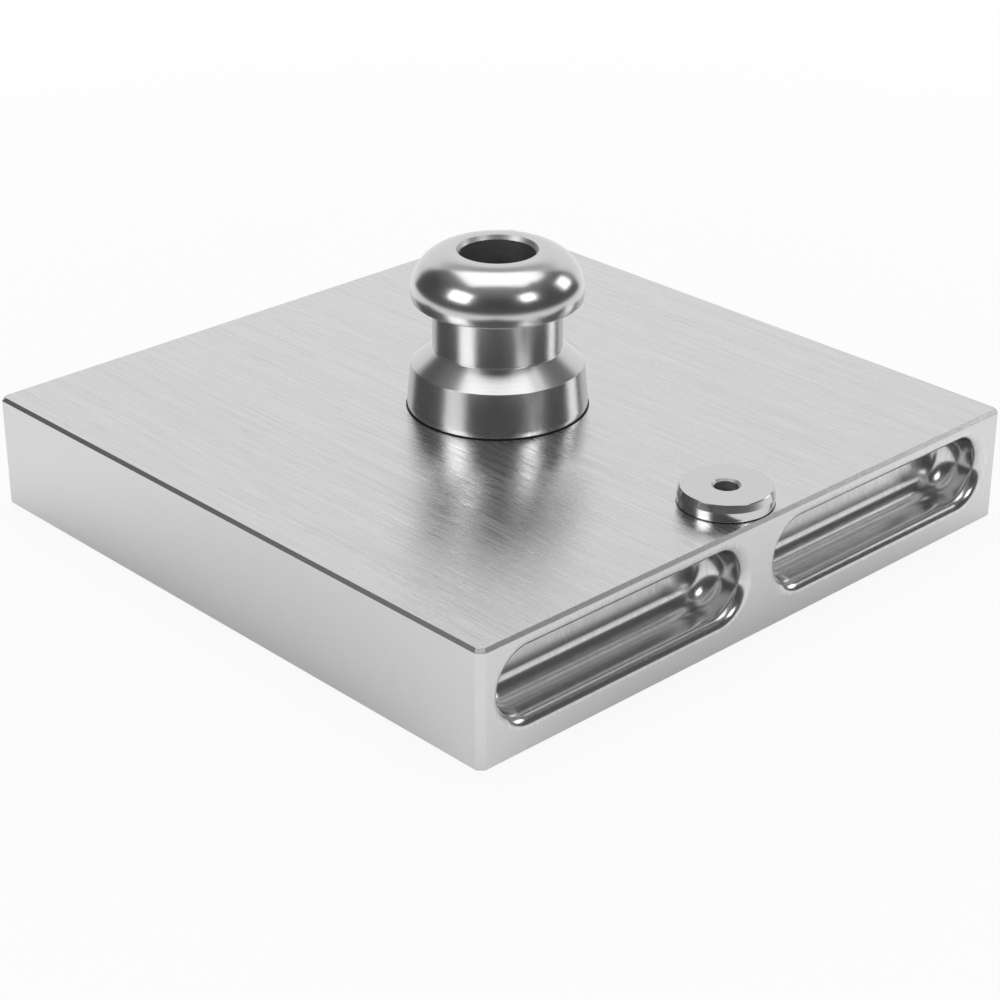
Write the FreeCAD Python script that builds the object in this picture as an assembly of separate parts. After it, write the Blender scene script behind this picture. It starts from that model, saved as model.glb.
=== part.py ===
"""Clamping pallet for a machining centre: a square plate with one clamping stud.

The stud side is drawn facing up. A zero-point module grips the stud below its
mushroom head, the ground face round it seats on the module, and the round disc
near the front edge stops the pallet from turning. A robot gripper reaches into
the long pockets in the front and back edges.

Origin: centre of the working face, which is the plate's underside here.
+Z points from the working face to the stud, and the disc is towards -Y.
All sizes are in millimetres.
"""
import FreeCAD, Part
import math
import os

V = FreeCAD.Vector

# Plate
plate_width = 156.0        # along X
plate_depth = 156.0        # along Y
plate_thickness = 26.0
seat_edge = 0.7            # bevel round the ground seat face
working_edge = 0.5         # bevel round the working face
corner_edge = 1.35         # bevel on the four upright corners

# Gripper pockets, two in the front edge and two in the back edge
pocket_wall_seat = 1.5     # metal left between a pocket's mouth and the seat face
pocket_wall_working = 4.7  # metal left between a pocket's mouth and the working face
pocket_wall_left = 2.9     # metal left at the -X end of the pair
pocket_wall_right = 3.7    # metal left at the +X end of the pair
pocket_bridge = 4.8        # metal left between the two pockets of a pair
pocket_lip = 2.6           # radius of the rounded edge round the mouth
pocket_depth = 9.5
pocket_corner = 4.6        # radius between the pocket's wall and its flat floor

# Clamping stud, heights above the seat face
stud_base_diameter = 40.0
stud_base_height = 10.1    # short centring taper
stud_taper = 5.0           # one millimetre on diameter for each five of height
stud_cone_height = 3.9     # slope from the taper up to the waist
stud_waist_diameter = 28.4
stud_head_diameter = 37.6
stud_head_round = 8.9      # radius of the head's rounded shoulder
stud_head_underside = 25.0 # height of the head's lower rim
stud_pull_slope = 20.0     # slope of the pull face under the head, in degrees
stud_height = 35.9
stud_rim_edge = 0.4        # bevel on the head's lower rim
stud_foot_round = 5.0      # large radius that draws the taper in just above the foot
stud_foot_round_top = 1.7  # height where that radius starts
stud_foot_edge = 0.4       # small bevel round the foot
stud_bore_diameter = 16.5  # clears the head of the stud screw
stud_bore_lead = 1.0       # depth of the lead-in at the bore's mouth
stud_bore_lead_width = 0.6
stud_screw_seat = 10.0     # height of the screw head's seat
stud_spigot_diameter = 25.0
stud_spigot_length = 5.0
spigot_edge = 0.5

# Locating disc, heights above the seat face
disc_diameter = 20.0
disc_height = 3.85
disc_cylinder_height = 2.15
disc_lead = 0.38           # how far the side draws in above the cylinder
disc_edge = 0.15           # depth of the bevel round the top
disc_edge_width = 0.12
disc_foot_edge = 0.4       # bevel round the foot
disc_shank_edge = 0.25
disc_margin = 0.8          # seat face left between the disc and the front edge
disc_shank_diameter = 10.0
disc_shank_length = 5.0
disc_mouth_edge = 0.5      # countersink at the mouth of the threaded hole

# Spot faces that the stud's foot and the disc stand in
spot_depth = 0.2

# Fasteners, with their threads drawn plain at the core diameter
stud_screw_thread = 10.0
stud_screw_core = 8.5
stud_screw_head_diameter = 16.0
stud_screw_head_height = 10.0
stud_screw_key = 8.0       # across the flats of the hexagon socket
stud_screw_key_depth = 5.0
disc_screw_thread = 6.0
disc_screw_core = 5.1
disc_screw_head_diameter = 10.0
disc_screw_head_height = 6.0
disc_screw_key = 5.0
disc_screw_key_depth = 3.0
disc_screw_recess = 0.5    # how far the head sits below the working face
disc_thread_grip = 5.5     # length of thread engaged in the disc
screw_head_edge = 0.6
screw_tip_edge = 0.8
stud_hole_floor = 2.0      # metal left between the blind hole and the working face
stud_hole_runout = 1.45    # free depth beyond the screw's tip
drill_point_angle = 118.0

# Clearances
thread_clearance = 0.03    # radial, drawn thread in its drawn hole
spigot_clearance = 0.02    # radial, spigot or shank in its seat
spot_clearance = 0.05      # radial, foot or disc in its spot face
seat_relief = 0.5          # free depth below a spigot or shank
bolt_clearance = 0.5       # radial, plain screw in its through hole
head_clearance = 0.5       # radial, screw head in its counterbore
overrun = 1.0              # how far a cutter starts outside the metal

# Places worked out from the sizes above
seat_z = plate_thickness
front_y = -plate_depth / 2
disc_y = front_y + disc_margin + disc_diameter / 2
disc_place = V(0, disc_y, 0)
disc_thread_top = seat_z - disc_shank_length + disc_thread_grip
stud_point_height = stud_screw_core / 2 / math.tan(math.radians(drill_point_angle / 2))
stud_hole_bottom = stud_hole_floor + stud_point_height
stud_screw_tip = stud_hole_bottom + stud_hole_runout


def line(a, b):
    """Straight edge between two (radius, height) points in the XZ plane."""
    return Part.makeLine(V(a[0], 0, a[1]), V(b[0], 0, b[1]))


def arc(a, middle, b):
    """Round edge through three (radius, height) points in the XZ plane."""
    points = [V(p[0], 0, p[1]) for p in (a, middle, b)]
    return Part.Arc(*points).toShape()


def light(edge):
    """The same round edge as an exact rational curve, which takes fewer facets once it is turned."""
    return edge.toNurbs().Edges[0]


def turned(edges):
    """Solid turned about the Z axis from a closed outline of edges."""
    outline = Part.Wire(Part.__sortEdges__(edges))
    return Part.makeSolid(Part.Face(outline).revolve(V(0, 0, 0), V(0, 0, 1), 360))


def turned_points(points):
    """Solid turned about the Z axis from a closed outline of corners."""
    pairs = zip(points, points[1:] + points[:1])
    return turned([line(a, b) for a, b in pairs if a != b])


def bevelled_plate():
    """Plain plate with a bevel on every edge."""
    corner = V(-plate_width / 2, -plate_depth / 2, 0)
    block = Part.makeBox(plate_width, plate_depth, plate_thickness, corner)
    upright = [e for e in block.Edges if abs(e.tangentAt(e.FirstParameter).z) > 0.5]
    block = block.makeChamfer(corner_edge, upright)
    for height, size in ((seat_z, seat_edge), (0.0, working_edge)):
        rim = [e for e in block.Edges if all(abs(v.Z - height) < 1e-6 for v in e.Vertexes)]
        block = block.makeChamfer(size, rim)
    return block


def pocket_cutter(left, right, low, high):
    """Cutter for one pocket: half a section turned at both ends and drawn along between.

    The section has a rounded lip, a straight wall, a rounded corner and a flat floor.
    """
    mouth = (high - low) / 2
    wall = mouth - pocket_lip
    corner_start = pocket_depth - pocket_corner
    slant = math.sqrt(0.5)
    outside = (mouth, -overrun)
    rim = (mouth, 0.0)
    lip_bend = (mouth - pocket_lip * slant, pocket_lip * (1 - slant))
    lip_end = (wall, pocket_lip)
    wall_end = (wall, corner_start)
    corner_bend = (wall - pocket_corner * (1 - slant), corner_start + pocket_corner * slant)
    floor_edge = (wall - pocket_corner, pocket_depth)
    floor = (0.0, pocket_depth)
    middle_top = (0.0, -overrun)
    rounds = [arc(rim, lip_bend, lip_end), arc(wall_end, corner_bend, floor_edge)]
    straights = [line(outside, rim), line(lip_end, wall_end), line(floor_edge, floor)]
    axis = [line(floor, middle_top), line(middle_top, outside)]
    half = rounds + straights
    end = turned([light(edge) for edge in rounds] + straights + axis)
    upper = Part.Wire(Part.__sortEdges__(half))
    lower = upper.mirror(V(0, 0, 0), V(1, 0, 0))
    closing = line((-mouth, -overrun), outside)
    section = Part.Face(Part.Wire(Part.__sortEdges__(upper.Edges + lower.Edges + [closing])))
    run = right - left - 2 * mouth
    middle = section.extrude(V(0, run, 0))
    far_end = end.copy()
    far_end.translate(V(0, run, 0))
    cutter = middle.fuse([end, far_end]).removeSplitter()
    # Stood up on the plate, the section's width runs along Z, its depth along +Y and its run along +X.
    cutter.rotate(V(0, 0, 0), V(1, 1, 1), -120)
    cutter.translate(V(left + mouth, front_y, (low + high) / 2))
    return cutter


def pocket_cutters():
    """The pair in the front edge and its mirror image in the back edge."""
    left = -plate_width / 2 + pocket_wall_left
    right = plate_width / 2 - pocket_wall_right
    length = (right - left - pocket_bridge) / 2
    low = pocket_wall_working
    high = plate_thickness - pocket_wall_seat
    front = [pocket_cutter(x, x + length, low, high) for x in (left, right - length)]
    back = [cutter.mirror(V(0, 0, 0), V(0, 1, 0)) for cutter in front]
    return front + back


def stud_seat_cutter():
    """Spot face and spigot recess, with the blind threaded hole below them."""
    spot = stud_base_diameter / 2 + spot_clearance
    recess = stud_spigot_diameter / 2 + spigot_clearance
    core = stud_screw_core / 2
    recess_floor = seat_z - stud_spigot_length - seat_relief
    return turned_points([
        (0.0, stud_hole_floor),
        (core, stud_hole_bottom),
        (core, recess_floor),
        (recess, recess_floor),
        (recess, seat_z - spot_depth),
        (spot, seat_z - spot_depth),
        (spot, seat_z + overrun),
        (0.0, seat_z + overrun),
    ])


def disc_seat_cutter():
    """Spot face, shank recess, through hole and counterbore of the locating disc."""
    spot = disc_diameter / 2 + spot_clearance
    recess = disc_shank_diameter / 2 + spigot_clearance
    through = disc_screw_thread / 2 + bolt_clearance / 2
    counterbore = disc_screw_head_diameter / 2 + head_clearance
    screw_seat = disc_screw_recess + disc_screw_head_height
    recess_floor = seat_z - disc_shank_length - seat_relief
    cutter = turned_points([
        (0.0, -overrun),
        (counterbore, -overrun),
        (counterbore, screw_seat),
        (through, screw_seat),
        (through, recess_floor),
        (recess, recess_floor),
        (recess, seat_z - spot_depth),
        (spot, seat_z - spot_depth),
        (spot, seat_z + overrun),
        (0.0, seat_z + overrun),
    ])
    cutter.translate(disc_place)
    return cutter


def pallet_plate():
    cutters = pocket_cutters() + [stud_seat_cutter(), disc_seat_cutter()]
    return bevelled_plate().cut(cutters)


def on_circle(centre, radius, angle):
    """Point on a circle in the XZ plane, its angle in radians up from the outward direction."""
    return (centre[0] + radius * math.cos(angle), centre[1] + radius * math.sin(angle))


def round_edge(centre, radius, start, end):
    """Round edge about a centre, from one angle to another."""
    return arc(*(on_circle(centre, radius, a) for a in (start, (start + end) / 2, end)))


def clamping_stud():
    """Turned stud: spigot, centring taper, waist, pull face and rounded head."""
    foot = stud_base_diameter / 2
    shoulder = foot - stud_base_height / stud_taper / 2
    waist = stud_waist_diameter / 2
    head = stud_head_diameter / 2
    bore = stud_bore_diameter / 2
    through = stud_screw_thread / 2 + bolt_clearance
    spigot = stud_spigot_diameter / 2
    waist_low = stud_base_height + stud_cone_height
    rim_height = stud_head_underside + stud_rim_edge
    head_centre = (head - stud_head_round, stud_height - stud_head_round)
    rim_angle = -math.asin((head_centre[1] - rim_height) / stud_head_round)
    rim = on_circle(head_centre, stud_head_round, rim_angle)
    pull_drop = (rim[0] - stud_rim_edge - waist) * math.tan(math.radians(stud_pull_slope))
    taper_angle = math.atan(1 / stud_taper / 2)
    taper_start = (foot - stud_foot_round_top / stud_taper / 2, stud_foot_round_top)
    foot_centre = on_circle(taper_start, -stud_foot_round, taper_angle)
    foot_angle = -math.asin((foot_centre[1] + spot_depth - stud_foot_edge) / stud_foot_round)
    foot_end = on_circle(foot_centre, stud_foot_round, foot_angle)

    spigot_outline = [
        (through, -stud_spigot_length),
        (spigot - spigot_edge, -stud_spigot_length),
        (spigot, -stud_spigot_length + spigot_edge),
        (spigot, -spot_depth),
        (foot_end[0] - stud_foot_edge, -spot_depth),
        foot_end,
    ]
    waist_outline = [
        taper_start,
        (shoulder, stud_base_height),
        (waist, waist_low),
        (waist, stud_head_underside - pull_drop),
        (rim[0] - stud_rim_edge, stud_head_underside),
        rim,
    ]
    crown = (head_centre[0], stud_height)
    inside = [
        crown,
        (bore + stud_bore_lead_width, stud_height),
        (bore, stud_height - stud_bore_lead),
        (bore, stud_screw_seat),
        (through, stud_screw_seat),
        spigot_outline[0],
    ]
    edges = [
        round_edge(foot_centre, stud_foot_round, foot_angle, taper_angle),
        round_edge(head_centre, stud_head_round, rim_angle, math.pi / 2),
    ]
    for corners in (spigot_outline, waist_outline, inside):
        edges += [line(a, b) for a, b in zip(corners, corners[1:])]
    stud = turned(edges)
    stud.translate(V(0, 0, seat_z))
    return stud


def locating_disc():
    """Disc with its shank and the threaded hole that the disc screw pulls on."""
    side = disc_diameter / 2
    shank = disc_shank_diameter / 2
    core = disc_screw_core / 2
    disc = turned_points([
        (side, disc_foot_edge - spot_depth),
        (side, disc_cylinder_height),
        (side - disc_lead, disc_height - disc_edge),
        (side - disc_lead - disc_edge_width, disc_height),
        (core + disc_mouth_edge, disc_height),
        (core, disc_height - disc_mouth_edge),
        (core, -disc_shank_length),
        (shank - disc_shank_edge, -disc_shank_length),
        (shank, -disc_shank_length + disc_shank_edge),
        (shank, -spot_depth),
        (side - disc_foot_edge, -spot_depth),
    ])
    disc.translate(disc_place + V(0, 0, seat_z))
    return disc


def socket_screw(thread, core, head_diameter, head_height, key, key_depth, tip, seat, grip):
    """Hexagon socket screw standing head up, its head on `seat` and its end at `tip`.

    The thread is drawn at its core diameter over the length `grip` above the tip.
    """
    head = head_diameter / 2
    threaded = core / 2 - thread_clearance
    screw = turned_points([
        (0.0, tip),
        (threaded - screw_tip_edge, tip),
        (threaded, tip + screw_tip_edge),
        (threaded, tip + grip),
        (thread / 2, tip + grip),
        (thread / 2, seat),
        (head, seat),
        (head, seat + head_height - screw_head_edge),
        (head - screw_head_edge, seat + head_height),
        (0.0, seat + head_height),
    ])
    corner = key / 2 / math.cos(math.radians(30))
    floor = seat + head_height - key_depth
    corners = [V(corner * math.cos(math.radians(60 * i)), corner * math.sin(math.radians(60 * i)), floor)
               for i in range(7)]
    socket = Part.Face(Part.makePolygon(corners)).extrude(V(0, 0, key_depth + overrun))
    return screw.cut(socket)


def stud_screw():
    grip = seat_z - stud_spigot_length - seat_relief - stud_screw_tip
    return socket_screw(
        stud_screw_thread, stud_screw_core,
        stud_screw_head_diameter, stud_screw_head_height,
        stud_screw_key, stud_screw_key_depth,
        stud_screw_tip, seat_z + stud_screw_seat, grip)


def disc_screw():
    """Drawn head up at first, then turned over so that its head faces the working side."""
    seat = disc_screw_recess + disc_screw_head_height
    screw = socket_screw(
        disc_screw_thread, disc_screw_core,
        disc_screw_head_diameter, disc_screw_head_height,
        disc_screw_key, disc_screw_key_depth,
        -disc_thread_top, -seat, disc_thread_grip)
    screw.rotate(V(0, 0, 0), V(1, 0, 0), 180)
    screw.translate(disc_place)
    return screw


parts = {
    "pallet_plate": pallet_plate(),
    "clamping_stud": clamping_stud(),
    "stud_screw": stud_screw(),
    "locating_disc": locating_disc(),
    "disc_screw": disc_screw(),
}

os.makedirs("parts", exist_ok=True)
for name, shape in parts.items():
    solids = shape.Solids
    box = shape.BoundBox
    print(f"{name}: {len(solids)} solid, valid {shape.isValid()}, {shape.Volume / 1000:.2f} cm3,"
          f" {box.XLength:.2f} x {box.YLength:.2f} x {box.ZLength:.2f} mm")
    shape.exportStep(f"parts/{name}.step")
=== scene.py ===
# %% [markdown]
# # A machining pallet in brushed aluminium and polished steel
#
# This file is a lesson. It dresses a square clamping pallet: a ground aluminium plate, a polished clamping
# stud, a small locating disc and the two screws that hold them. The construction comes from the CAD frame,
# and every finished piece here stands exactly where its CAD node does. All lengths are in metres inside
# Blender, so sizes are written in millimetres and multiplied by MM once.
#
# ## Loading the frame
#
# The imported model is loaded first, because everything else is measured against it.

# %% Load the frame
import bmesh
import bpy
import math
import numpy as np
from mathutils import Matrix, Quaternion, Vector


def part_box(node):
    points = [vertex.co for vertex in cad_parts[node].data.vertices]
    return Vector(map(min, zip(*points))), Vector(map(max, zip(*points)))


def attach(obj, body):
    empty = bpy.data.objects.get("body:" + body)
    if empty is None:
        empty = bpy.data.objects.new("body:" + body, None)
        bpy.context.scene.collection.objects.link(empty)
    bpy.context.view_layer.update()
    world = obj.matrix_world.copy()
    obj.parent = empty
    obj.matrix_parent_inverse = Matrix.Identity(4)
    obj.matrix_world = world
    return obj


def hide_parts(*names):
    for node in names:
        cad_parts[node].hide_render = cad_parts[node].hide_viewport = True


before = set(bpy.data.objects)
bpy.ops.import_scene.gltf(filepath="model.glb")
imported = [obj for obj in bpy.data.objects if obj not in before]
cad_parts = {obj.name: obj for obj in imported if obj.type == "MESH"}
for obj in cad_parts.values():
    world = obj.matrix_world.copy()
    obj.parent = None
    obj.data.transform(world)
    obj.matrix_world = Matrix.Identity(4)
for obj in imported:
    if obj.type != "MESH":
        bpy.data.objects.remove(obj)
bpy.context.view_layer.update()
scene = bpy.context.scene
scene.view_settings.view_transform = "Standard"
MM = 0.001
print("CAD nodes:", sorted(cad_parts))

# %% [markdown]
# ## The camera
#
# A long lens from above the front left corner keeps the square plate from spreading out. A place could be
# found by trial, but the plate's straight edges fix it: the angles below were solved from them. Directions
# are written as a compass angle round the plate, 0 at the front and 90 at the right, and a height angle.

# %% Camera
CAMERA_LENS = 90.68
CAMERA_AZIMUTH = -43.413
CAMERA_ELEVATION = 26.452
CAMERA_ROLL = 0.04
CAMERA_PLACE = Vector((-346.69, -367.24, 253.28)) * MM


def direction(azimuth, elevation):
    """Unit vector towards a compass angle and a height angle, both in degrees."""
    a, e = math.radians(azimuth), math.radians(elevation)
    return Vector((math.sin(a) * math.cos(e), -math.cos(a) * math.cos(e), math.sin(e)))


def look_along(target, towards):
    """Turn an object so that its -Z axis points along a vector, with +Y as its upper side."""
    target.rotation_mode = "QUATERNION"
    target.rotation_quaternion = towards.to_track_quat("-Z", "Y")


camera_data = bpy.data.cameras.new("product_camera")
camera_data.lens = CAMERA_LENS
camera_data.sensor_width = 36.0
camera_data.clip_start = 0.01
camera_data.clip_end = 50.0
camera = bpy.data.objects.new("product_camera", camera_data)
scene.collection.objects.link(camera)
camera.location = CAMERA_PLACE
look_along(camera, -direction(CAMERA_AZIMUTH, CAMERA_ELEVATION))
camera.rotation_quaternion @= Quaternion((0, 0, 1), math.radians(CAMERA_ROLL))
scene.camera = camera
print("camera stands", round(CAMERA_PLACE.length / MM), "mm from the middle of the working face")

# %% [markdown]
# ## Studio light
#
# Bare metal shows its surroundings more than its own colour, so the studio decides the look. A single round
# sky would leave the stud flat. A product photographer stands three softboxes round the object, hangs a large
# white panel overhead with a narrow wing at its right, keeps the front dark and lights the wall behind. The
# dark part gives the stud its black bands, and wall and panel are what the brushed top mirrors towards the
# camera.

# %% Softboxes and the overhead panel
STUDIO_DISTANCE = 3.0
PANEL_RADIANCE = 1.45
# Name, compass angle, height angle, the angles that width and height fill, and brightness.
STANDING = (
    ("softbox_left", -99, 29.5, 30, 23, 3.5),
    ("softbox_front", 2, 33.5, 20, 17, 3.6),
    ("softbox_right", 66.5, 22.5, 19, 21, 2.5),
)
# Name, how far behind the object and to its right as the camera sees it, width and depth, all as shares of
# STUDIO_DISTANCE.
OVERHEAD = (
    ("panel_overhead", 0.14, 0.0, 1.06, 0.86),
    ("panel_wing", 0.22, 0.6, 0.14, 0.44),
)


def softbox(name, centre, towards, width, height, radiance, turn=0.0):
    """Rectangular lamp whose surface has a given brightness: its power is brightness times area times pi."""
    lamp = bpy.data.lights.new(name, "AREA")
    lamp.shape = "RECTANGLE"
    lamp.size = width
    lamp.size_y = height
    lamp.energy = radiance * width * height * math.pi
    holder = bpy.data.objects.new(name, lamp)
    scene.collection.objects.link(holder)
    holder.location = centre
    look_along(holder, towards)
    holder.rotation_quaternion @= Quaternion((0, 0, 1), math.radians(turn))
    holder.visible_camera = False


def standing_softbox(name, azimuth, elevation, wide, high, radiance):
    """Softbox round the object, its width and height given as the angles that it fills."""
    towards = direction(azimuth, elevation)
    half_wide = STUDIO_DISTANCE * math.cos(math.radians(elevation)) * math.tan(math.radians(wide / 2))
    half_high = STUDIO_DISTANCE * math.tan(math.radians(high / 2))
    softbox(name, towards * STUDIO_DISTANCE, -towards, 2 * half_wide, 2 * half_high, radiance)


def overhead_panel(name, behind, right, wide, deep):
    """Panel that hangs level, turned with the camera."""
    moved = -direction(CAMERA_AZIMUTH, 0) * behind + direction(CAMERA_AZIMUTH + 90, 0) * right
    softbox(name, Vector((0, 0, STUDIO_DISTANCE)) + moved * STUDIO_DISTANCE, Vector((0, 0, -1)),
            wide * STUDIO_DISTANCE, deep * STUDIO_DISTANCE, PANEL_RADIANCE, turn=CAMERA_AZIMUTH)


for sizes in STANDING:
    standing_softbox(*sizes)
for sizes in OVERHEAD:
    overhead_panel(*sizes)

# %% [markdown]
# ## The room around it
#
# The room is a world shader. It reads only the direction of a ray: a lit wall behind the object, dark cloth
# at the front and sides, and a dim ceiling. A picture of a studio could be wrapped round the scene instead,
# but two ramps over height, blended by compass angle, are enough and stay easy to change.

# %% World
BACK_AZIMUTH = 135.0
BACK_EDGE = 50.0
BACK_SOFT = 8.0
# Stops of the ramps: height angle and brightness.
BACK_RAMP = ((0.0, 0.95), (33.0, 0.95), (42.0, 0.5), (55.0, 0.38), (75.0, 0.4))
FRONT_RAMP = ((0.0, 0.09), (14.0, 0.085), (30.0, 0.075), (40.0, 0.12), (52.0, 0.22), (70.0, 0.3))


def node(tree, kind, links=None, **settings):
    """Add a shader node, set its properties, and link or set its inputs by name or number."""
    made = tree.nodes.new("ShaderNode" + kind)
    for key, value in settings.items():
        setattr(made, key, value)
    for key, value in (links or {}).items():
        if isinstance(value, bpy.types.NodeSocket):
            tree.links.new(value, made.inputs[key])
        else:
            made.inputs[key].default_value = value
    return made


def brightness_ramp(tree, height, stops):
    """Colour ramp over the sine of the height angle."""
    made = node(tree, "ValToRGB", {0: height})
    ramp = made.color_ramp
    while len(ramp.elements) < len(stops):
        ramp.elements.new(1.0)
    for element, (angle, level) in zip(ramp.elements, stops):
        element.position = math.sin(math.radians(angle))
        element.color = (level, level, level, 1.0)
    return made.outputs["Color"]


def by_compass(tree, vector, at_wall, elsewhere):
    """Value for vectors within BACK_EDGE of the wall's compass angle and for all others, with a soft edge."""
    level = node(tree, "VectorMath", {0: vector, 1: (1.0, 1.0, 0.0)}, operation="MULTIPLY").outputs[0]
    compass = node(tree, "VectorMath", {0: level}, operation="NORMALIZE").outputs[0]
    facing = node(tree, "VectorMath", {0: compass, 1: direction(BACK_AZIMUTH, 0)}, operation="DOT_PRODUCT")
    return node(tree, "MapRange", {
        "Value": facing.outputs["Value"],
        "From Min": math.cos(math.radians(BACK_EDGE)),
        "From Max": math.cos(math.radians(BACK_EDGE - BACK_SOFT)),
        "To Min": elsewhere,
        "To Max": at_wall,
    }, interpolation_type="SMOOTHSTEP").outputs["Result"]


world = bpy.data.worlds.new("studio_room")
scene.world = world
world.use_nodes = True
room = world.node_tree
room.nodes.clear()
ray = node(room, "TexCoord").outputs["Generated"]
height = node(room, "SeparateXYZ", {0: ray}).outputs["Z"]
mixed = node(room, "Mix", {
    "Factor": by_compass(room, ray, at_wall=1.0, elsewhere=0.0),
    6: brightness_ramp(room, height, FRONT_RAMP),
    7: brightness_ramp(room, height, BACK_RAMP),
}, data_type="RGBA").outputs[2]
background = node(room, "Background", {"Color": mixed, "Strength": 1.0}).outputs[0]
node(room, "OutputWorld", {"Surface": background})
print("world nodes:", len(room.nodes))

# %% [markdown]
# ## The floor
#
# The pallet stands on white paper that runs out to the horizon. Lamps alone would leave the paper grey, and
# more lamp power would burn out the metal. So for the camera the paper is mostly plain white, with a tenth of
# its real shading and shadow close to the object. Mirrors get a share of their own: mostly real shading
# close by, plain white soon after, and far out in front a dark cloth, which darkens the flanks of the stud.

# %% Floor
FLOOR_SIZE = 16.0
FLOOR_COLOUR = (0.93, 0.93, 0.93, 1.0)
WHITE = (1.0, 1.0, 1.0, 1.0)
CLOTH_RADIANCE = 0.07
# Distances in metres between which a share glides up to 1, and the share before that.
CAMERA_WHITE = (0.12, 0.5, 0.9)
MIRROR_WHITE = (0.08, 0.14, 0.2)
DARK_CLOTH = (0.3, 0.5, 0.0)

floor_mesh = bpy.data.meshes.new("paper_floor")
half = FLOOR_SIZE / 2
floor_corners = [(-half, -half, 0), (half, -half, 0), (half, half, 0), (-half, half, 0)]
floor_mesh.from_pydata(floor_corners, [], [(0, 1, 2, 3)])
floor = bpy.data.objects.new("paper_floor", floor_mesh)
scene.collection.objects.link(floor)

paper = bpy.data.materials.new("white_paper")
paper.use_nodes = True
tree = paper.node_tree
tree.nodes.clear()
place = node(tree, "TexCoord").outputs["Object"]
distance = node(tree, "VectorMath", {0: place}, operation="LENGTH").outputs["Value"]
path = node(tree, "LightPath").outputs


def glide(start, end, near):
    """Share that glides from near to 1 between two distances from the plate's centre."""
    return node(tree, "MapRange", {"Value": distance, "From Min": start, "From Max": end, "To Min": near},
                interpolation_type="SMOOTHSTEP").outputs["Result"]


def for_ray(kind, value):
    """The value for one kind of ray, and zero for all others."""
    return node(tree, "Math", {0: path[kind], 1: value}, operation="MULTIPLY").outputs[0]


plain = glide(*CAMERA_WHITE)
seen = node(tree, "Math", {0: for_ray("Is Camera Ray", plain), 1: for_ray("Is Transmission Ray", plain)},
            operation="ADD").outputs[0]
mirrored = for_ray("Is Glossy Ray", glide(*MIRROR_WHITE))
share = node(tree, "Math", {0: seen, 1: mirrored}, operation="ADD", use_clamp=True).outputs[0]
in_front = by_compass(tree, place, at_wall=0.0, elsewhere=1.0)
far_cloth = node(tree, "Math", {0: glide(*DARK_CLOTH), 1: in_front}, operation="MULTIPLY").outputs[0]
cloth = for_ray("Is Glossy Ray", far_cloth)
matt = node(tree, "BsdfDiffuse", {"Color": FLOOR_COLOUR}).outputs[0]
white = node(tree, "Emission", {"Color": WHITE, "Strength": 1.0}).outputs[0]
dark = node(tree, "Emission", {"Color": WHITE, "Strength": CLOTH_RADIANCE}).outputs[0]
lit = node(tree, "MixShader", {0: share, 1: matt, 2: white}).outputs[0]
blended = node(tree, "MixShader", {0: cloth, 1: lit, 2: dark}).outputs[0]
node(tree, "OutputMaterial", {"Surface": blended})
floor_mesh.materials.append(paper)
print("floor:", FLOOR_SIZE, "m wide")

# %% [markdown]
# ## Shaping tools
#
# Every piece here is turned or milled, so its shape is a profile carried round an axis or along a path.
# A profile is a short list of corners. Real corners are never knife sharp: even a deburred edge has a
# rounding of a tenth of a millimetre, and that rounding is what catches the light. The first helper rounds
# the corners of a profile. It also sets a guard point just before and after each rounding, so that smooth
# shading bends only within the rounding and leaves the flat stretches flat.

# %% Profiles
# Distance of a guard point from its rounding, and the shortest stretch that gets one, in millimetres.
GUARD = 0.02
LONG_STRETCH = 3 * GUARD
# Differences below this don't count, and half angles above this many degrees are no corner.
TINY = 1e-6
STRAIGHT = 89.5


def arc_points(centre, radius, start, end, count):
    """Points on a circle: centre plus radius times (cosine, sine) of evenly spaced angles, in degrees."""
    angle = np.radians(np.linspace(start, end, count))
    return np.column_stack((centre[0] + radius * np.cos(angle), centre[1] + radius * np.sin(angle)))


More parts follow.
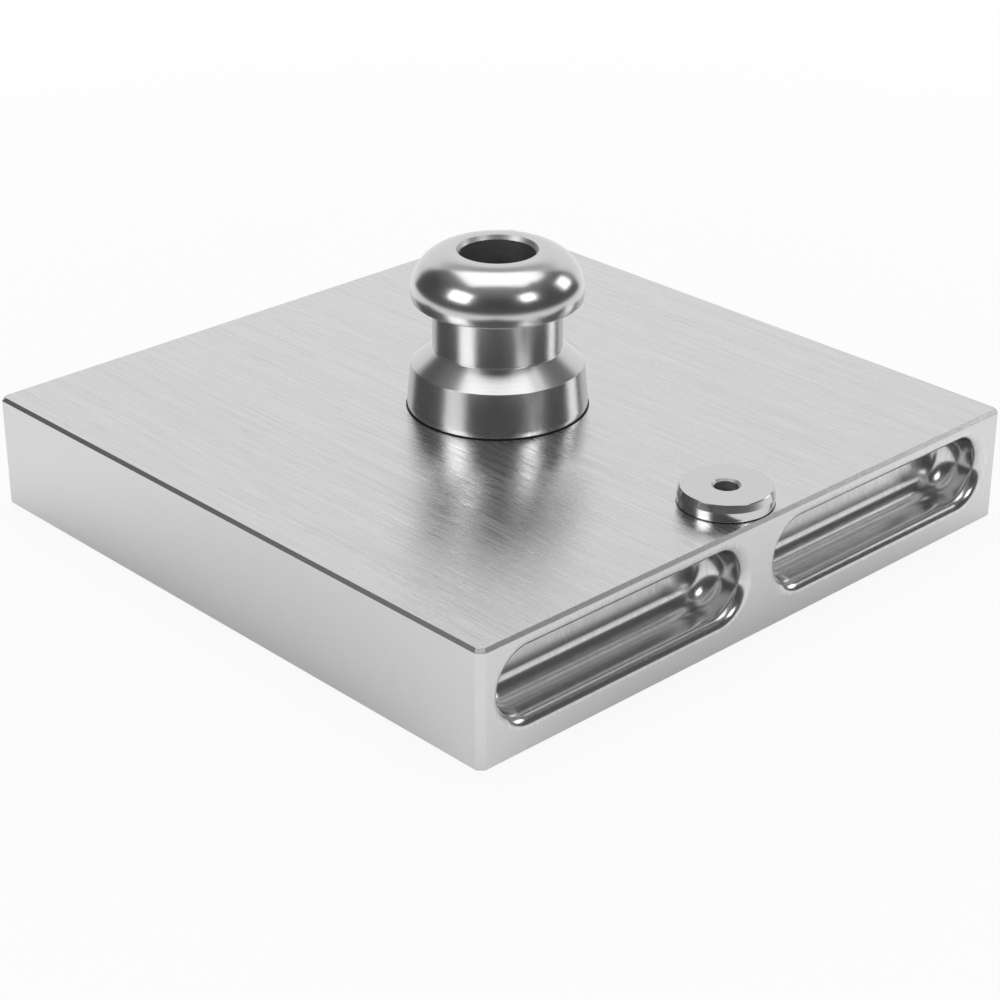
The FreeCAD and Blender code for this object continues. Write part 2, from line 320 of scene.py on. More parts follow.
def rounded(corners, radius=None, steps=4, closed=True):
    """Profile whose corners are replaced by arcs; corners are (x, y, radius) rows, or (x, y) with one radius.

    With unit vectors a and b from a corner to its neighbours and h half the angle between them, the arc's
    centre lies on their bisector at radius / sin(h), and it touches both sides at radius / tan(h). The arc is
    swept by turning the first touching direction into the second. Where h is above STRAIGHT degrees there is
    no corner to round.
    """
    corners = np.array([(*c[:2], c[2] if len(c) > 2 else radius) for c in corners], float)
    points, radii = corners[:, :2], corners[:, 2]
    before, after = np.roll(points, 1, axis=0), np.roll(points, -1, axis=0)
    if not closed:
        radii[[0, -1]] = 0.0
        before[0], after[-1] = 2 * points[0] - points[1], 2 * points[-1] - points[-2]
    to_before = np.linalg.norm(before - points, axis=1, keepdims=True)
    to_after = np.linalg.norm(after - points, axis=1, keepdims=True)
    a, b = (before - points) / to_before, (after - points) / to_after
    h = np.arccos(np.clip((a * b).sum(1), -1, 1)) / 2
    radii[h > math.radians(STRAIGHT)] = 0.0
    reach = (radii / np.tan(h))[:, None]
    bisector = a + b
    bisector /= np.maximum(np.linalg.norm(bisector, axis=1, keepdims=True), 1e-12)
    centre = points + bisector * (radii / np.sin(h))[:, None]
    first, last = points + a * reach - centre, points + b * reach - centre
    sweep = np.maximum(math.pi - 2 * h, TINY)[:, None, None]
    t = np.linspace(0, 1, steps + 1)[None, :, None]
    swept = (np.sin((1 - t) * sweep) * first[:, None] + np.sin(t * sweep) * last[:, None]) / np.sin(sweep)
    guard = GUARD * (radii > 0)[:, None]
    early = points + a * (reach + guard * (to_before > LONG_STRETCH))
    late = points + b * (reach + guard * (to_after > LONG_STRETCH))
    made = np.concatenate((early[:, None], centre[:, None] + swept, late[:, None]), axis=1).reshape(-1, 2)
    gap = np.linalg.norm(made - np.roll(made, 1, axis=0), axis=1)
    return made[(gap > TINY) | ((np.arange(len(made)) == 0) & (not closed))]


print("rounded corner:", rounded([(0, 0), (1, 0), (1, 1)], 0.2, steps=2, closed=False).round(3).tolist())

# %% [markdown]
# A profile becomes a surface as a grid of points. Turning is the simplest case: the rows are the profile's
# points, and the columns are the steps round the axis. A grid is kept with its quads and the number of the
# finish that it wears, and a closed profile has its first row repeated at the end.

# %% Grids
def around(radius, height, centre=(0.0, 0.0)):
    """Grid about an upright axis, over (row, angle).

    x = radius cos(angle), y = radius sin(angle), z = height, moved to the centre.
    """
    angle = np.linspace(0, 2 * math.pi, radius.shape[1], endpoint=False)[None, :]
    x = centre[0] + radius * np.cos(angle)
    y = centre[1] + radius * np.sin(angle)
    return np.stack((x, y, height), axis=-1)


def plain_rows(profile, sides):
    """Radius and height over (row, angle) of a turned profile, which are the same all the way round."""
    return tuple(np.repeat(profile[:, k, None], sides, axis=1) for k in (0, 1))


def turned(profile, sides, centre=(0.0, 0.0)):
    """Grid of a turned profile of (radius, height) points."""
    return around(*plain_rows(profile, sides), centre)


def patch(grid, finish=0, keep=None):
    """Points, quads and finish number of a grid whose last column joins the first.

    keep says which quads stay: a mask over the rows of quads, or over (rows of quads, columns).
    """
    rows, columns = grid.shape[:2]
    r, c = np.arange(rows - 1)[:, None], np.arange(columns)[None, :]
    d = (c + 1) % columns
    here, above = r * columns, (r + 1) * columns
    quads = np.stack(np.broadcast_arrays(here + c, here + d, above + d, above + c), axis=-1)
    chosen = quads if keep is None else quads[keep]
    return grid.reshape(-1, 3), chosen.reshape(-1, 4), finish


print("grid of a ring of 8:", turned(np.array([(1.0, 0.0), (1.0, 2.0)]), 8).shape)

# %% [markdown]
# Grids are gathered into one mesh. Rows that shrink to a point, and borders that two grids share, are
# welded, and then the open flat places are skinned: whatever border edges lie in one plane bound a flat face,
# holes included. A boolean could cut the same holes, but it leaves slivers that break up reflections. Last,
# the normals are made to point outwards, and edges sharper than a limit are kept sharp.

# %% Welding grids into a closed piece
# Points closer than this, in metres, become one.
WELD = 1e-6


def weld(name, patches, finishes, planes=(), sharp=40.0):
    """Mesh object from patches in millimetres, closed by flat faces in the given planes.

    A plane is (axis, place, finish number), such as (2, 26.0, 0) for the face at z = 26.
    """
    points = np.concatenate([p for p, _, _ in patches]) * MM
    starts = np.cumsum([0] + [len(p) for p, _, _ in patches[:-1]])
    quads = np.concatenate([q + s for (_, q, _), s in zip(patches, starts)])
    numbers = np.concatenate([np.full(len(q), f, np.int32) for _, q, f in patches])
    mesh = bpy.data.meshes.new(name)
    mesh.from_pydata(points, [], quads)
    mesh.polygons.foreach_set("material_index", numbers)
    work = bmesh.new()
    work.from_mesh(mesh)
    bmesh.ops.remove_doubles(work, verts=work.verts, dist=WELD)
    bmesh.ops.dissolve_degenerate(work, edges=work.edges, dist=WELD)
    for axis, place, finish in planes:
        rim = [e for e in work.edges if e.is_boundary
               and max(abs(v.co[axis] - place * MM) for v in e.verts) < WELD]
        filled = bmesh.ops.triangle_fill(work, edges=rim, use_beauty=True)
        for part in filled["geom"]:
            if isinstance(part, bmesh.types.BMFace):
                part.material_index = finish
    bmesh.ops.recalc_face_normals(work, faces=work.faces)
    open_edges = sum(not e.is_manifold for e in work.edges)
    work.to_mesh(mesh)
    work.free()
    mesh.polygons.foreach_set("use_smooth", np.ones(len(mesh.polygons), bool))
    mesh.set_sharp_from_angle(angle=math.radians(sharp))
    piece = bpy.data.objects.new(name, mesh)
    scene.collection.objects.link(piece)
    for finish in finishes:
        mesh.materials.append(finish)
    print(f"{name}: {len(mesh.polygons)} faces, {open_edges} open edges")
    return piece


# %% [markdown]
# ## Surface effects as node groups
#
# Brushing, milling marks and turning marks are all the same thing at different scales: long fine scratches
# in one direction. So one node group makes them. It reads coordinates that were already turned and stretched
# along the scratches, layers a broad, a middle and a fine noise, and puts out one value, the scratch height.
# Bump, roughness and tone all follow that height. Scratches as geometry would take millions of faces.

# %% Scratch group
# Each layer: how fine it is, and where in the noise it starts.
BROAD_LAYER = (0.22, 3.1)
MIDDLE_LAYER = (1.0, 7.7)
FINE_LAYER = (3.3, 12.9)
# How fine a layer is along the scratches against across them, and the middle layer's share over the broad.
ALONG = 0.7
MIDDLE_SHARE = 0.65


def socket(tree, name, kind="NodeSocketFloat", out=False, value=None):
    """Add a named input or output to a node group."""
    made = tree.interface.new_socket(name=name, in_out="OUTPUT" if out else "INPUT", socket_type=kind)
    if value is not None:
        made.default_value = value


def scratch_group():
    """Group that turns stretched coordinates into the height of long scratches."""
    tree = bpy.data.node_groups.new("long_scratches", "ShaderNodeTree")
    socket(tree, "Vector", "NodeSocketVector")
    socket(tree, "Fine share", value=0.5)
    socket(tree, "Height", out=True)
    given = tree.nodes.new("NodeGroupInput").outputs

    def layer(scale, start):
        """Noise over the stretched coordinates; a larger scale gives finer scratches."""
        spot = node(tree, "VectorMath", {0: given["Vector"], 1: (scale * ALONG, scale, scale),
                                         2: (start, start, start)}, operation="MULTIPLY_ADD")
        return node(tree, "TexNoise", {"Vector": spot.outputs[0], "Scale": 1.0, "Detail": 2.0,
                                       "Roughness": 0.6}).outputs["Fac"]

    coarse = node(tree, "Mix", {0: MIDDLE_SHARE, 2: layer(*BROAD_LAYER), 3: layer(*MIDDLE_LAYER)}).outputs[0]
    total = node(tree, "Mix", {0: given["Fine share"], 2: coarse, 3: layer(*FINE_LAYER)}).outputs[0]
    tree.links.new(total, tree.nodes.new("NodeGroupOutput").inputs["Height"])
    return tree


scratches = scratch_group()
print("group:", scratches.name, "with", len(scratches.nodes), "nodes")

# %% [markdown]
# Turned pieces carry their marks as rings round the axis. A second group changes plain coordinates into ones
# where the radius and the height count fully and the place round the axis hardly at all. The scratches then
# close into rings without a seam.

# %% Ring coordinates
def ring_group():
    """Group that gives (x / length, radius / width, height / width) about an upright axis."""
    tree = bpy.data.node_groups.new("ring_coordinates", "ShaderNodeTree")
    socket(tree, "Vector", "NodeSocketVector")
    socket(tree, "Length", value=0.03)
    socket(tree, "Width", value=0.0003)
    socket(tree, "Vector", "NodeSocketVector", out=True)
    given = tree.nodes.new("NodeGroupInput").outputs

    def share_of(value, size):
        """Value divided by one of the two sizes."""
        return node(tree, "Math", {0: value, 1: given[size]}, operation="DIVIDE").outputs[0]

    flat = node(tree, "VectorMath", {0: given["Vector"], 1: (1.0, 1.0, 0.0)}, operation="MULTIPLY").outputs[0]
    radius = node(tree, "VectorMath", {0: flat}, operation="LENGTH").outputs["Value"]
    split = node(tree, "SeparateXYZ", {0: given["Vector"]}).outputs
    made = node(tree, "CombineXYZ", {0: share_of(split["X"], "Length"), 1: share_of(radius, "Width"),
                                     2: share_of(split["Z"], "Width")}).outputs[0]
    tree.links.new(made, tree.nodes.new("NodeGroupOutput").inputs[0])
    return tree


rings = ring_group()
print("group:", rings.name, "with", len(rings.nodes), "nodes")

# %% [markdown]
# A finish is then one Principled shader with its own constants, and the groups feeding its bump, a narrow
# range of roughness and a slight change of tone. The coordinates are the object's own, turned and stretched
# by a Mapping node: its Texture mode first turns and then divides, so strokes can run either way.

# %% Metal finish
# The part of the scratch height that is stretched to the full range of roughness and tone.
HEIGHT_LOW = 0.3
HEIGHT_HIGH = 0.7


def straight_grain(size, turn=0.0):
    """Function of a node tree: object coordinates turned about Z, in scratch lengths and widths."""
    def grain(tree):
        """Stretched coordinates in one material."""
        place = node(tree, "TexCoord").outputs["Object"]
        return node(tree, "Mapping", {"Vector": place, "Rotation": (0.0, 0.0, math.radians(turn)),
                                      "Scale": [s * MM for s in size]}, vector_type="TEXTURE").outputs[0]
    return grain


def ring_grain(length, width, centre=(0.0, 0.0)):
    """Function of a node tree: object coordinates in rings round an upright axis at centre."""
    def grain(tree):
        """Ring coordinates in one material."""
        place = node(tree, "TexCoord").outputs["Object"]
        moved = node(tree, "Mapping", {"Vector": place, "Location": (centre[0] * MM, centre[1] * MM, 0.0)},
                     vector_type="TEXTURE").outputs[0]
        return node(tree, "Group", {0: moved, "Length": length * MM, "Width": width * MM},
                    node_tree=rings).outputs[0]
    return grain


def metal(name, colour, roughness, grain, depth, spread=0.03, tone=0.03, fine=0.5):
    """Bare metal with scratches.

    grain is a function of the node tree that gives the stretched coordinates. depth is the height of the
    scratches in millimetres, spread and tone are how much roughness and colour change, and fine is the share
    of the finest layer.
    """
    made = bpy.data.materials.new(name)
    made.use_nodes = True
    tree = made.node_tree
    tree.nodes.clear()
    marks = node(tree, "Group", {"Vector": grain(tree), "Fine share": fine}, node_tree=scratches).outputs
    strength = node(tree, "MapRange", {"Value": marks["Height"], "From Min": HEIGHT_LOW,
                                       "From Max": HEIGHT_HIGH}).outputs[0]
    rough = node(tree, "MapRange", {"Value": strength, "To Min": roughness - spread,
                                    "To Max": roughness + spread}).outputs[0]
    shade = node(tree, "Mix", {"Factor": strength, 6: [c * (1 + tone) for c in colour] + [1.0],
                               7: [c * (1 - tone) for c in colour] + [1.0]}, data_type="RGBA").outputs[2]
    bump = node(tree, "Bump", {"Height": marks["Height"], "Strength": 1.0, "Distance": depth * MM}).outputs[0]
    surface = node(tree, "BsdfPrincipled", {"Base Color": shade, "Metallic": 1.0, "Roughness": rough,
                                            "Normal": bump}).outputs[0]
    node(tree, "OutputMaterial", {"Surface": surface})
    return made


ALUMINIUM = (0.68, 0.678, 0.677)
DULL_ALUMINIUM = (0.56, 0.559, 0.558)
STEEL = (0.615, 0.615, 0.612)
DULL_STEEL = (0.58, 0.58, 0.575)
BLACK_OXIDE = (0.10, 0.10, 0.105)
# Near black for the spot faces round the steel pieces: painted shade in place of the contact shadow in the
# gaps.
PAINTED_SHADE_BLACK = (0.05, 0.05, 0.05)
print("metal colours:", ALUMINIUM, STEEL, BLACK_OXIDE)

# %% [markdown]
# ## The plate
#
# The plate is one block of aluminium, ground on top, with a bevel on every edge. Its outline is a square with
# cut corners. The side of the block is that outline carried up a short profile: bevel, side, bevel. It is
# made in three bands, because the side has another finish than the bevels. Front and back are left out of the
# middle band, because the gripper pockets open there and the flat metal round their mouths is skinned
# afterwards.

# %% Outline of the plate
HALF_X, HALF_Y, THICK = (float(v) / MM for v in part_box("pallet_plate")[1])
SEAT_EDGE = 0.7
WORKING_EDGE = 0.5
CORNER_EDGE = 1.35
# How fast the cut shrinks as the outline moves in. A bevel of 45 degrees at the corners would need 0.586;
# this one lies 5 degrees flatter there, so that it mirrors the overhead panel.
CUT_SHRINKS = 0.3
CORNER_ROUND = 0.4
EDGE_ROUND = 0.08
# Stretch of the flat faces on which the profile of the rim starts and ends, so that its last corners round.
SKIRT = 1.0
# Finish numbers, in the order of plate_finishes below.
SEAT, SIDE, BEVEL, POCKET, HOLE, SHADE_GAP = range(6)


def outline(inset):
    """Square with cut corners, moved inwards by inset: each side moves in, and the cuts shrink a little."""
    x, y = HALF_X - inset, HALF_Y - inset
    cut = CORNER_EDGE - CUT_SHRINKS * inset
    corners = [(x, y - cut), (x - cut, y), (-x + cut, y), (-x, y - cut),
               (-x, -y + cut), (-x + cut, -y), (x - cut, -y), (x, -y + cut)]
    return rounded(corners, CORNER_ROUND, steps=3)


def rim_rows(profile):
    """Rows of the rim: the outline at each (inset, height) of a profile."""
    rows = [(outline(inset), height) for inset, height in profile]
    return np.stack([np.column_stack((row, np.full(len(row), height))) for row, height in rows])


def plate_rim():
    """Lower bevel, side and upper bevel, with the front and back left out of the side."""
    corners = [(WORKING_EDGE + SKIRT, 0), (WORKING_EDGE, 0), (0, WORKING_EDGE),
               (0, THICK - SEAT_EDGE), (SEAT_EDGE, THICK), (SEAT_EDGE + SKIRT, THICK)]
    profile = rounded(corners, EDGE_ROUND, closed=False)[1:-1]
    upright = np.flatnonzero(np.diff(profile[:, 1]) > THICK / 2)[0]
    side = rim_rows(profile[upright:upright + 2])
    middle = (side[0] + np.roll(side[0], -1, axis=0)) / 2
    keep = (np.abs(np.abs(middle[:, 1]) - HALF_Y) > TINY)[None, :]
    return [patch(rim_rows(profile[:upright + 1]), BEVEL), patch(side, SIDE, keep),
            patch(rim_rows(profile[upright + 1:]), BEVEL)]


rim = plate_rim()
print("plate rim quads:", [len(q) for _, q, _ in rim])

# %% [markdown]
# ## The gripper pockets
#
# On the real plate a cutter with rounded corners goes round each pocket in the edge. It leaves a flat floor,
# a rounded corner and a straight wall that turns round both ends, and another cutter rounds the lip. A
# boolean could cut it here, but the pocket is a grid like the rest: the mouth's outline is a slot shape, and
# each row is that outline shrunk by the profile's inset and pushed in by its depth, until it closes on the
# slot's middle line.

# %% Pocket grid
POCKET_LOW = 4.7
POCKET_HIGH = THICK - 1.5
POCKET_LEFT = -HALF_X + 2.9
POCKET_RIGHT = HALF_X - 3.7
POCKET_BRIDGE = 4.8
POCKET_LIP = 2.6
POCKET_DEPTH = 9.5
POCKET_CORNER = 4.6
LIP_STEPS = 20
END_STEPS = 48
CORNER_STEPS = 24
MOUTH = (POCKET_HIGH - POCKET_LOW) / 2
POCKET_LENGTH = (POCKET_RIGHT - POCKET_LEFT - POCKET_BRIDGE) / 2


def pocket_profile():
    """Inset and depth from the face to the middle line: round lip, wall, round corner and flat floor."""
    lip = arc_points((0, POCKET_LIP), POCKET_LIP, -90, 0, LIP_STEPS)
    wall_end = POCKET_DEPTH - POCKET_CORNER
    wall = [(POCKET_LIP, POCKET_LIP + GUARD), (POCKET_LIP, wall_end - GUARD)]
    inner = POCKET_LIP + POCKET_CORNER
    corner = arc_points((inner, wall_end), POCKET_CORNER, 180, 90, CORNER_STEPS)
    flat = [(inner + GUARD, POCKET_DEPTH), (MOUTH, POCKET_DEPTH)]
    return np.vstack((lip, wall, corner, flat))


def pocket(left, side):
    """Pocket surface over (way down the profile, way round the slot).

    A slot at inset d is every point at distance (half height - d) from its middle line, so each row is two
    half circles joined by straight stretches. side is -1 for the front edge and +1 for the back edge.
    """
    profile = pocket_profile()
    left_end, right_end = np.linspace(90, 270, END_STEPS + 1), np.linspace(-90, 90, END_STEPS + 1)
    angle = np.radians(np.concatenate((left_end, right_end)))
    centre = np.repeat((left + MOUTH, left + POCKET_LENGTH - MOUTH), END_STEPS + 1)
    radius = (MOUTH - profile[:, 0])[:, None]
    x = centre + radius * np.cos(angle)
    y = side * (HALF_Y - profile[:, 1])[:, None]
    z = (POCKET_LOW + POCKET_HIGH) / 2 + radius * np.sin(angle)
    return np.stack(np.broadcast_arrays(x, y, z), axis=-1)


starts = (POCKET_LEFT, POCKET_RIGHT - POCKET_LENGTH)
pockets = [patch(pocket(left, side), POCKET) for side in (-1, 1) for left in starts]
print("pocket length and height in mm:", round(POCKET_LENGTH, 2), 2 * MOUTH)

# %% [markdown]
# ## Seats and holes
#
# Both steel pieces stand in shallow spot faces. The walls and floors of these spot faces are painted near
# black: painted shade for the dark contact line round the foot of each piece. The stud is drawn down by a
# screw in its bore, which bites in a blind thread of the plate. The disc is drawn down by a screw from the
# working side. Each hole is a turned surface about its own axis, so its profile of radius and height is all
# that is needed.

# %% Holes of the plate
DISC_Y = -67.2
HOLE_SIDES = 192
SPOT = 0.2
SPOT_ROUND = 0.04
SPIGOT_FLOOR = 20.5
SCREW_HOLE_FLOOR = 2.0
HEAD_SEAT = 6.5

stud_seat = rounded([(21, THICK), (20.05, THICK), (20.05, THICK - SPOT), (12.52, THICK - SPOT),
                     (12.52, SPIGOT_FLOOR), (4.25, SPIGOT_FLOOR), (4.25, 4.55), (0, SCREW_HOLE_FLOOR)],
                    SPOT_ROUND, closed=False)[1:]
disc_seat = rounded([(11, THICK), (10.05, THICK), (10.05, THICK - SPOT), (5.02, THICK - SPOT),
                     (5.02, SPIGOT_FLOOR), (3.25, SPIGOT_FLOOR), (3.25, HEAD_SEAT), (5.5, HEAD_SEAT),
                     (5.5, 0.3), (5.8, 0), (6.8, 0)], SPOT_ROUND, closed=False)[1:-1]


def hole_patches(profile, centre):
    """A turned hole in two patches: its spot face, down to SPOT below the seat face, and the rest."""
    grid = turned(profile, HOLE_SIDES, centre)
    # The spot face's rows get the near-black finish, which is painted shade for the dark line round each
    # steel piece.
    shallow = np.minimum(profile[:-1, 1], profile[1:, 1]) > THICK - SPOT - TINY
    return [patch(grid, SHADE_GAP, shallow), patch(grid, HOLE, ~shallow)]


holes = hole_patches(stud_seat, (0, 0)) + hole_patches(disc_seat, (0, DISC_Y))
print("hole profiles:", len(stud_seat), "and", len(disc_seat), "points")

# %% [markdown]
# The finishes follow how each face is made. The seat face is brushed in long strokes from back to front. The
# sides were only squared up with a fine cutter, so their grain is short. The bevels were cut last and left
# dull. The pockets carry fine ribs across the cutter's path, about 0.6 mm apart. The grain sizes are a
# scratch's extent along X, Y and Z in millimetres, before it is turned about Z.

# %% Finishes of the plate
brushed_seat = metal("brushed_seat", ALUMINIUM, 0.25, straight_grain((28, 0.45, 0.45), turn=-90),
                     depth=0.035, spread=0.17, tone=0.055, fine=0.65)
squared_side = metal("squared_side", ALUMINIUM, 0.30, straight_grain((1.2, 1.2, 0.4)), depth=0.006)
cut_bevel = metal("cut_bevel", DULL_ALUMINIUM, 0.36, straight_grain((0.7, 0.7, 6)),
                  depth=0.004, spread=0.04, tone=0.2)
milled_pocket = metal("milled_pocket", ALUMINIUM, 0.20, straight_grain((8, 0.6, 8), turn=90),
                      depth=0.006, spread=0.06, tone=0.15)
bored_hole = metal("bored_hole", ALUMINIUM, 0.25, ring_grain(30, 0.3), depth=0.006)
# The spot faces are painted near black and rough: painted shade for the dark contact line at the foot of each
# steel piece.
painted_shade_gap = metal("painted_shade_gap", PAINTED_SHADE_BLACK, 0.5, ring_grain(30, 0.3), depth=0.002)
plate_finishes = (brushed_seat, squared_side, cut_bevel, milled_pocket, bored_hole, painted_shade_gap)
print("plate finishes:", [m.name for m in plate_finishes])

# %% [markdown]
# Now the plate is welded together. The flat faces are skinned last: the seat face, the working face, and the
# front and back round the pockets.

# %% Plate piece
plate = weld("ground_plate", rim + pockets + holes, plate_finishes,
             planes=((2, THICK, SEAT), (2, 0.0, SIDE), (1, -HALF_Y, SIDE), (1, HALF_Y, SIDE)))
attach(plate, "root")
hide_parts("pallet_plate")

# %% [markdown]
# ## The clamping stud
#
# The stud is turned from one bar and hardened: a spigot, a foot with a short centring taper, a cone up to the
# waist, the pull face that the module's slides press on, and a head rounded so that it finds its way in.
# Lathes and spin modifiers could make it, but one profile with its real corners and two arcs says it better:
# one arc for the head, and one large one for the foot, which touches the taper.

# %% Stud profile
STUD_SIDES = 240
STUD_TOP = 35.9
HEAD_ROUND = 8.9
HEAD_CENTRE = (9.9, 27.0)
HEAD_STEPS = 60
RIM_HEIGHT = 25
RIM_EDGE = 0.1
PULL_SLOPE = 20.0
WAIST = 14.2
CRISP = 0.07
TOOL_NOSE = 0.4
FOOT_ROUND = 5.0
FOOT_CENTRE = (14.855, 1.2025)
FOOT_EDGE = 0.22
TAPER_ANGLE = 5.71
BORE = 8.25
LEAD = 8.85
SCREW_BORE = 5.5
SCREW_SEAT = 10


def foot_points():
    """The foot's small lower edge and its large arc up to the taper, as (radius, height) points."""
    reach = FOOT_ROUND - FOOT_EDGE
    edge_height = FOOT_EDGE - SPOT
    meeting = math.asin((edge_height - FOOT_CENTRE[1]) / reach)
    edge_centre = (FOOT_CENTRE[0] + reach * math.cos(meeting), edge_height)
    edge = arc_points(edge_centre, FOOT_EDGE, -90, math.degrees(meeting), 8)
    belly = arc_points(FOOT_CENTRE, FOOT_ROUND, math.degrees(meeting), TAPER_ANGLE, 12)[1:]
    return [(*point, 0.0) for point in np.vstack((edge, belly))]


def stud_profile():
    """Radius and height above the seat face, once round the section of the stud."""
    rim_angle = math.asin((RIM_HEIGHT + RIM_EDGE - HEAD_CENTRE[1]) / HEAD_ROUND)
    rim_radius = HEAD_CENTRE[0] + HEAD_ROUND * math.cos(rim_angle)
    pull_drop = (rim_radius - RIM_EDGE - WAIST) * math.tan(math.radians(PULL_SLOPE))
    head = arc_points(HEAD_CENTRE, HEAD_ROUND, math.degrees(rim_angle), 90, HEAD_STEPS)
    corners = [(SCREW_BORE, -5, CRISP), (12, -5, CRISP), (12.5, -4.5, CRISP), (12.5, -SPOT, CRISP),
               *foot_points(), (18.99, 10.1, 0.15), (WAIST, 14.0, TOOL_NOSE),
               (WAIST, RIM_HEIGHT - pull_drop, TOOL_NOSE), (rim_radius - RIM_EDGE, RIM_HEIGHT, 0.03),
               *((*point, 0.0) for point in head),
               (HEAD_CENTRE[0] - GUARD, STUD_TOP, 0.0), (LEAD, STUD_TOP, 0.15), (BORE, STUD_TOP - 1, 0.15),
               (BORE, SCREW_SEAT, CRISP), (SCREW_BORE, SCREW_SEAT, CRISP)]
    return rounded(corners)


stud_shape = stud_profile() + (0, THICK)
print("stud profile:", len(stud_shape), "points, top at", round(stud_shape[:, 1].max(), 2), "mm")

# %% [markdown]
# The outside is ground and polished, and only faint rings are left on it. The bore is left as it was drilled,
# rougher and a little darker, and the short lead-in at its mouth is dull, so it shows as an even ring. The
# rows of the grid are sorted into these three finishes by their radius and height.

# %% Stud piece
# Finish numbers of both turned pieces.
OUTSIDE, INSIDE, LEAD_IN = range(3)
JUST_OVER = 0.05
LEAD_BAND = 1.5
stud_grain = ring_grain(60, 0.35)
polished_steel = metal("polished_steel", STEEL, 0.22, stud_grain, depth=0.0008, spread=0.02, tone=0.02)
bored_steel = metal("bored_steel", DULL_STEEL, 0.36, stud_grain, depth=0.03, spread=0.05, tone=0.05)
lead_steel = metal("lead_steel", STEEL, 0.42, stud_grain, depth=0.004)
stud_rows = np.vstack((stud_shape, stud_shape[:1]))
stud_grid = turned(stud_rows, STUD_SIDES)
widest = np.maximum(stud_rows[:-1, 0], stud_rows[1:, 0])
in_bore = widest < BORE + JUST_OVER
in_lead = (widest < LEAD + JUST_OVER) & (stud_rows[1:, 1] > THICK + STUD_TOP - LEAD_BAND) & ~in_bore
stud_patches = [patch(stud_grid, OUTSIDE, ~in_bore & ~in_lead), patch(stud_grid, INSIDE, in_bore),
                patch(stud_grid, LEAD_IN, in_lead)]
stud = weld("polished_stud", stud_patches, [polished_steel, bored_steel, lead_steel])
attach(stud, "root")
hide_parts("clamping_stud")

# %% [markdown]
# ## The locating disc
#
# The disc is a small turned piece with a drawn-in upper half, so that it slides into its notch. It has a
# tapped hole. The thread is a real helix: where a plain hole has one radius, a tapped one adds the height of
# a tooth, which depends on the height and on the place round the hole together.

# %% Thread shape
TOOTH_SLOPE = 1.6
TOOTH_CUT = 0.3


def zigzag(place):
    """Wave of straight lines: 1 at every whole number and 0 halfway between."""
    return np.abs(2 * (place % 1.0) - 1)


def tooth(place):
    """Height of a thread's tooth from 0 to 1 over one pitch: flat root, slope, flat crest, slope."""
    return np.clip(TOOTH_SLOPE * zigzag(place) - TOOTH_CUT, 0, 1)


def thread_rows(inner, outer, pitch, low, high, sides, steps=10):
    """Radius and height over (height, angle).

    The tooth follows height / pitch - turn, and it fades at both ends.
    """
    rows = max(int((high - low) / pitch * steps), 2)
    height = np.linspace(low, high, rows)[:, None]
    turn = np.linspace(0, 1, sides, endpoint=False)[None, :]
    fade = np.clip(np.minimum(height - low, high - height) / pitch, 0, 1)
    radius = inner + (outer - inner) * tooth(height / pitch - turn) * fade
    return radius, np.broadcast_to(height, radius.shape)


def stacked(parts):
    """Radius and height of several stretches of rows, one after the other."""
    return tuple(np.vstack([part[k] for part in parts]) for k in (0, 1))


print("tooth:", tooth(np.linspace(0, 1, 5)).round(2).tolist())

# %% [markdown]
# The disc is ground outside, and its hole has the dull finish of the stud's lead-in. The grid goes once round
# the section, plain rows outside and helix rows in the hole, and the thread fades out at both ends, so that
# plain and helix rows meet without a step.

# %% Disc piece
DISC_SIDES = 192
DISC_FOOT = 0.5
DISC_CORE = 2.55
DISC_THREAD = 3.0
DISC_PITCH = 1.0
DISC_THREAD_TOP = 0.8
DISC_THREAD_BOTTOM = -4.6
# Rows that stay within this radius belong to the hole.
HOLE_EDGE = 3.2


def disc_rows():
    """Rows of the disc, the outside first and then down the tapped hole."""
    corners = [(DISC_CORE, -5, CRISP), (4.75, -5, CRISP), (5, -4.75, CRISP), (5, -SPOT, CRISP),
               (10, -SPOT, DISC_FOOT), (10, 2.15, 0.1), (9.62, 3.7, CRISP), (9.5, 3.85, 0.1),
               (3.05, 3.85, 0.1), (DISC_CORE, 3.35, 0.1)]
    outside = rounded([*corners, (DISC_CORE, 0, 0.0)], closed=False)
    thread = thread_rows(DISC_CORE, DISC_THREAD, DISC_PITCH, DISC_THREAD_BOTTOM, DISC_THREAD_TOP, DISC_SIDES)
    first = plain_rows(np.vstack((outside[:-1], (DISC_CORE, DISC_THREAD_TOP + 0.3))), DISC_SIDES)
    downwards = [rows[::-1] for rows in thread]
    return stacked((first, downwards, plain_rows(outside[:1], DISC_SIDES)))


disc_radius, disc_height = disc_rows()
ground_steel = metal("ground_steel", STEEL, 0.18, ring_grain(20, 0.25, (0, DISC_Y)),
                     depth=0.001, spread=0.02, tone=0.02)
disc_grid = around(disc_radius, disc_height + THICK, (0, DISC_Y))
in_hole = np.maximum(disc_radius[:-1], disc_radius[1:]).max(axis=1) < HOLE_EDGE
disc = weld("index_disc", [patch(disc_grid, OUTSIDE, ~in_hole), patch(disc_grid, INSIDE, in_hole)],
            [ground_steel, lead_steel])
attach(disc, "root")
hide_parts("locating_disc")

# %% [markdown]
# ## The two cap screws
#
# Both screws are standard: a thread, a plain shank, a knurled head and a hexagon socket. They hardly show,
# but a look into the stud's bore or at the working side finds them. One function makes both. The knurl and
# the hexagon are again a radius that depends on the angle.

# %% Screw rows
KNURL_DEPTH = 0.25
SCREW_SIDES = 192
SCREW_EDGE = 0.6
TIP_EDGE = 0.8
DRILL_POINT = 59.0
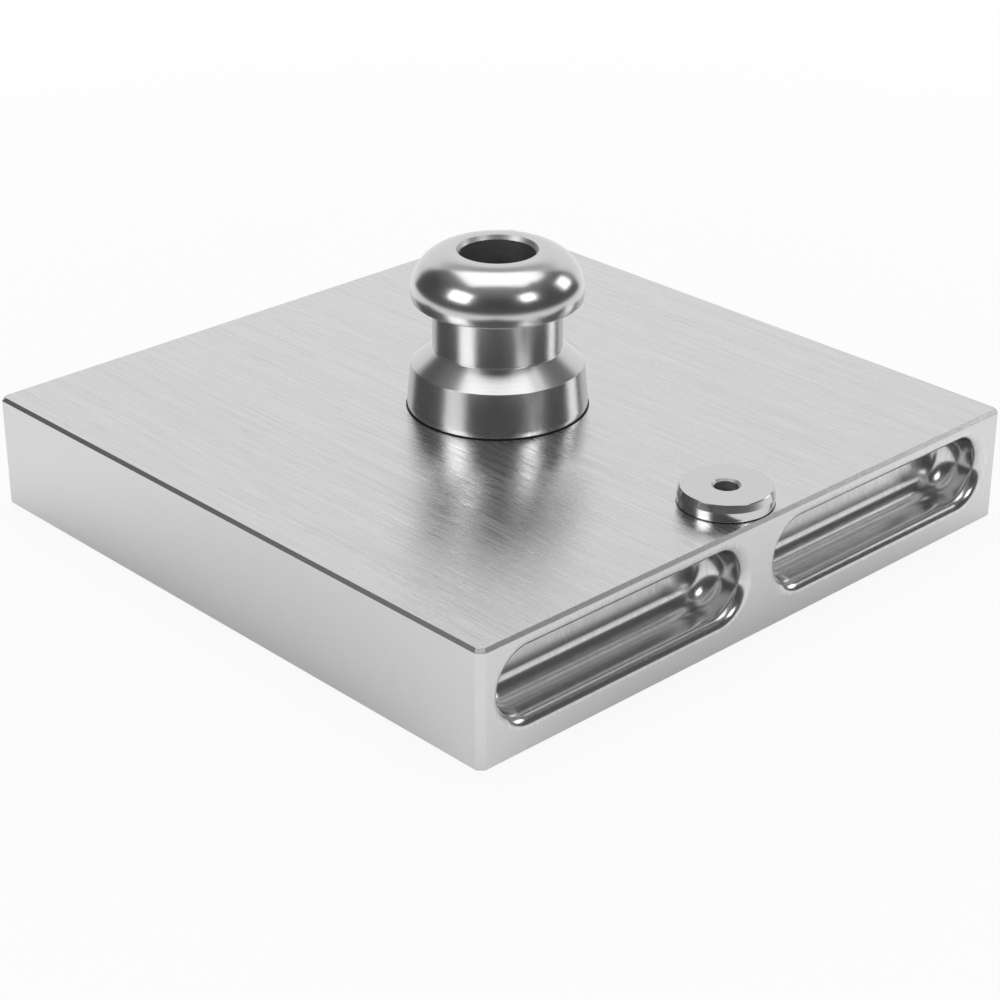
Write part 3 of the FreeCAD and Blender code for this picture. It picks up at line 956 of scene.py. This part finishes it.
# Millimetres: thread and key are full widths, core and head are radii, and grip is where the thread ends.
STUD_SCREW = dict(thread=10, core=4.22, pitch=1.5, grip=14.5, head=8, head_height=10, key=8, key_depth=5,
                  length=30, teeth=48)
DISC_SCREW = dict(thread=6, core=2.52, pitch=1.0, grip=5.5, head=5, head_height=6, key=5, key_depth=3,
                  length=20, teeth=32)


def hexagon_radius(flats, sides):
    """Radius over the angle: half the width across flats over the cosine from the middle of a flat."""
    angle = np.linspace(0, 360, sides, endpoint=False)
    return flats / 2 / np.cos(np.radians((angle % 60) - 30))


def level_rows(radii, heights):
    """Radius and height of rows that are level, each with its own radius over the angle."""
    radius = np.stack(radii)
    return radius, np.array(heights)[:, None] * np.ones((1, radius.shape[1]))


def screw_rows(thread, core, pitch, grip, head, head_height, key, key_depth, length, teeth):
    """Rows of a cap screw standing on its tip at height 0, from the tip's middle to the socket's middle."""
    sides = SCREW_SIDES
    top = length + head_height
    tip = plain_rows(np.array([(0, 0), (core - TIP_EDGE, 0), (core, TIP_EDGE)]), sides)
    body = thread_rows(core, thread / 2, pitch, TIP_EDGE + 0.1, grip, sides)
    neck = plain_rows(rounded([(core, grip + 0.1, 0), (thread / 2, grip + 0.4, CRISP),
                               (thread / 2, length, 0.15), (head - 0.3, length, CRISP),
                               (head, length + 0.3, CRISP), (head, length + 0.6, 0.0)], closed=False), sides)
    low, high = length + 0.9, top - SCREW_EDGE - 0.5
    round_row = np.full(sides, head)
    ribs = head - KNURL_DEPTH * (1 - zigzag(np.arange(sides) * teeth / sides))
    knurl = level_rows([round_row, ribs, ribs, round_row], [low - 0.2, low, high, high + 0.2])
    mouth = key / 2 / math.cos(math.radians(30)) + 0.25
    crown = plain_rows(rounded([(head, high + 0.3, 0), (head, top - SCREW_EDGE, CRISP),
                                (head - SCREW_EDGE, top, CRISP), (mouth, top, CRISP),
                                (mouth - 0.2, top - 0.2, 0)], closed=False), sides)
    hexagon = hexagon_radius(key, sides)
    depth = key / 2 / math.tan(math.radians(DRILL_POINT))
    floor_height = top - key_depth
    walls = [hexagon * share for share in (0.995, 0.98, 0.98, 0.95)]
    heights = [top - 0.25, top - 0.5, floor_height, floor_height, floor_height - depth * 0.5]
    key_socket = level_rows([*walls, np.zeros(sides)], heights)
    return stacked((tip, body, neck, knurl, crown, key_socket))


# %% [markdown]
# The stud's screw stands upright on its tip, 6 mm above the working face. The disc's screw hangs upside down
# from its tip at 26.5 mm, so that its head lies in the counterbore.

# %% Screw pieces
oiled_black = metal("oiled_black", BLACK_OXIDE, 0.34, straight_grain((0.6, 0.6, 0.6)),
                    depth=0.004, spread=0.08, tone=0.3)
# Name, CAD node, axis, height of the tip, way that the screw points and its sizes.
SCREWS = (
    ("cap_screw_stud", "stud_screw", (0.0, 0.0), 6.0, 1, STUD_SCREW),
    ("cap_screw_disc", "disc_screw", (0.0, DISC_Y), 26.5, -1, DISC_SCREW),
)
for name, cad_node, axis, tip_height, way, sizes in SCREWS:
    screw_radius, screw_height = screw_rows(**sizes)
    screw = weld(name, [patch(around(screw_radius, tip_height + way * screw_height, axis))], [oiled_black])
    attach(screw, "root")
    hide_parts(cad_node)
